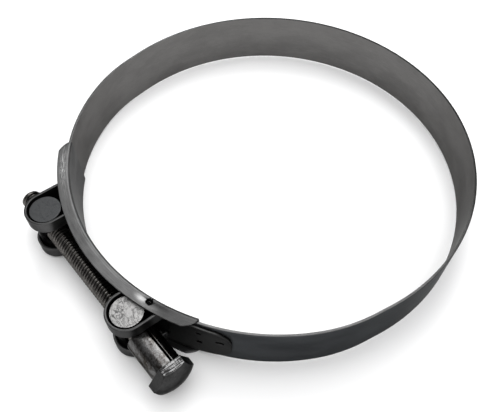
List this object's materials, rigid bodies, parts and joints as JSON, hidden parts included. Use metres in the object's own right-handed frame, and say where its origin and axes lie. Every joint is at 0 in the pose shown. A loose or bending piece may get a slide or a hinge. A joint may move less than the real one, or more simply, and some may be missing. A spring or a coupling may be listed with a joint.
{
  "type": "bolt band clamp",
  "caption": "Heavy-duty steel band clamp for pipes and hoses: looped band ends on trunnions, a bridge plate under the gap, and one long hexagon bolt that tightens the ring.",
  "frame": {"origin": "centre of the ring, at half the band's width", "axes": "+Z along the ring's axis, the way the pipe leaves; the bolt lies on the -Y side parallel to X, with its head at +X"},
  "size_m": [0.1842, 0.1993, 0.0282],
  "materials": {
    "band_steel": "rolled stainless strip, fine grain along the band, satin",
    "bridge_steel": "satin stainless sheet with scuffed bends",
    "trunnion_steel": "cut bar ends with turning marks",
    "bolt_steel": "rolled thread and forged head, lightly oiled",
    "sleeve_steel": "rolled sheet, smooth"
  },
  "bodies": {
    "back": {"band_back": "band_steel"},
    "right_middle": {"band_right_middle": "band_steel"},
    "right_end": {"band_right_end": "band_steel", "bridge_plate": "bridge_steel"},
    "left_middle": {"band_left_middle": "band_steel"},
    "left_end": {"band_left_end": "band_steel"},
    "plain_trunnion": {"plain_trunnion": "trunnion_steel"},
    "threaded_trunnion": {"threaded_trunnion": "trunnion_steel"},
    "bolt": {"clamping_bolt": "bolt_steel"},
    "sleeve": {"spacer_sleeve": "sleeve_steel"}
  },
  "joints": [
    {"name": "right_back_flex", "type": "hinge", "parent": "back", "child": "right_middle", "pos_m": [0.07632, 0.04956, 0], "axis": [0, 0, -1], "range_deg": [0, 5.7]},
    {"name": "right_front_flex", "type": "hinge", "parent": "right_middle", "child": "right_end", "pos_m": [0.08123, -0.04319, 0], "axis": [0, 0, -1], "range_deg": [0, 5.7]},
    {"name": "left_back_flex", "type": "hinge", "parent": "back", "child": "left_middle", "pos_m": [-0.07632, 0.04956, 0], "axis": [0, 0, 1], "range_deg": [0, 5.7]},
    {"name": "left_front_flex", "type": "hinge", "parent": "left_middle", "child": "left_end", "pos_m": [-0.08123, -0.04319, 0], "axis": [0, 0, 1], "range_deg": [0, 5.7]},
    {"name": "plain_trunnion_turn", "type": "hinge", "parent": "right_end", "child": "plain_trunnion", "pos_m": [0.0305, -0.0957, 0], "axis": [0, 0, 1], "range_deg": [0, 14.9]},
    {"name": "threaded_trunnion_turn", "type": "hinge", "parent": "left_end", "child": "threaded_trunnion", "pos_m": [-0.0305, -0.0987, 0], "axis": [0, 0, -1], "range_deg": [0, 7.9]},
    {"name": "bolt_turn", "type": "hinge", "parent": "plain_trunnion", "child": "bolt", "pos_m": [0.0305, -0.0957, 0], "axis": [-0.9988, -0.0491, 0], "range_deg": [0, 9000]},
    {"name": "sleeve_turn", "type": "hinge", "parent": "plain_trunnion", "child": "sleeve", "pos_m": [0.04608, -0.09493, 0], "axis": [0.9988, 0.0491, 0], "continuous": true}
  ],
  "couplings": [
    {"joint": "right_back_flex", "follows": "bolt_turn", "ratio": 0.00062957},
    {"joint": "right_front_flex", "follows": "bolt_turn", "ratio": 0.00062957},
    {"joint": "left_back_flex", "follows": "bolt_turn", "ratio": 0.00062957},
    {"joint": "left_front_flex", "follows": "bolt_turn", "ratio": 0.00062957},
    {"joint": "plain_trunnion_turn", "follows": "bolt_turn", "ratio": 0.001647},
    {"joint": "threaded_trunnion_turn", "follows": "bolt_turn", "ratio": 0.00087129}
  ]
}
